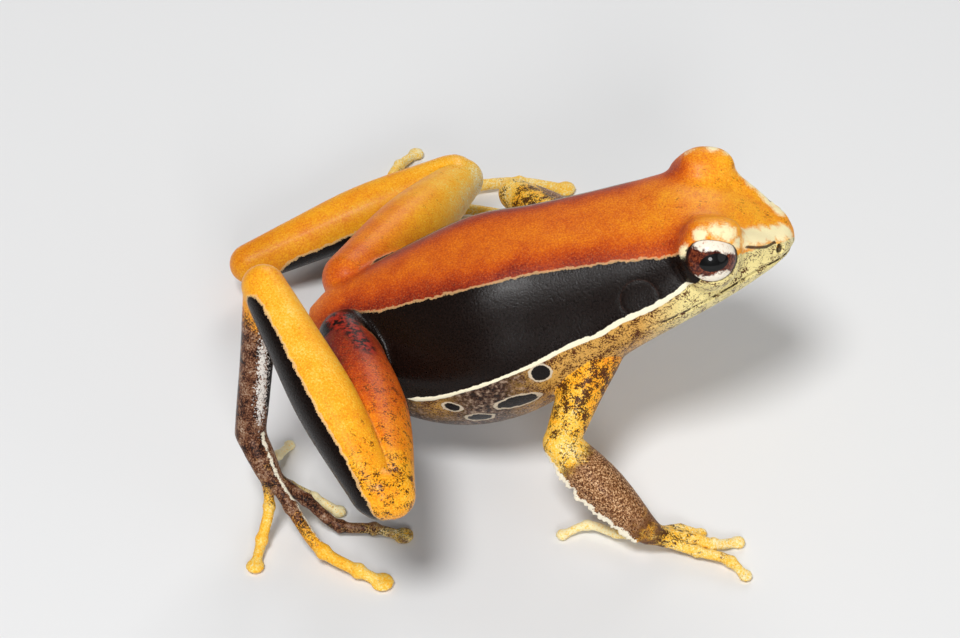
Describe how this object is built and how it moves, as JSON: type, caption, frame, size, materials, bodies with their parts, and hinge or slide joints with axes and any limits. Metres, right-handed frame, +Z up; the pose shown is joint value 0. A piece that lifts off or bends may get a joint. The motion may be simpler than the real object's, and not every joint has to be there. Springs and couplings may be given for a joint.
{
  "type": "frog",
  "caption": "Life-size still model of a slender ground frog propped up on its arms, hind legs folded, for display and study",
  "frame": {"origin": "on the floor under the middle of the frog's outline, where the lowest toes and fingers stand", "axes": "+X is the way the frog faces, +Y its left side, +Z up"},
  "size_m": [0.0466, 0.0598, 0.0246],
  "materials": {
    "torso_skin": "orange brown back over black flanks, moist and finely granular",
    "head_skin": "orange brown crown, cream lips with dark speckle, moist",
    "arm_skin": "yellow with dark brown mottling, moist",
    "leg_skin": "yellow orange above and black below, moist",
    "eye": "wet, black pupil in a cream and dark red iris"
  },
  "bodies": {
    "root": {"head": "head_skin", "torso": "torso_skin", "eye_right": "eye", "eye_left": "eye", "upper_arm_right": "arm_skin", "forearm_right": "arm_skin", "hand_right": "arm_skin", "upper_arm_left": "arm_skin", "forearm_left": "arm_skin", "hand_left": "arm_skin", "thigh_right": "leg_skin", "shank_right": "leg_skin", "tarsus_right": "leg_skin", "foot_right": "leg_skin", "thigh_left": "leg_skin", "shank_left": "leg_skin", "tarsus_left": "leg_skin", "foot_left": "leg_skin"}
  },
  "joints": []
}
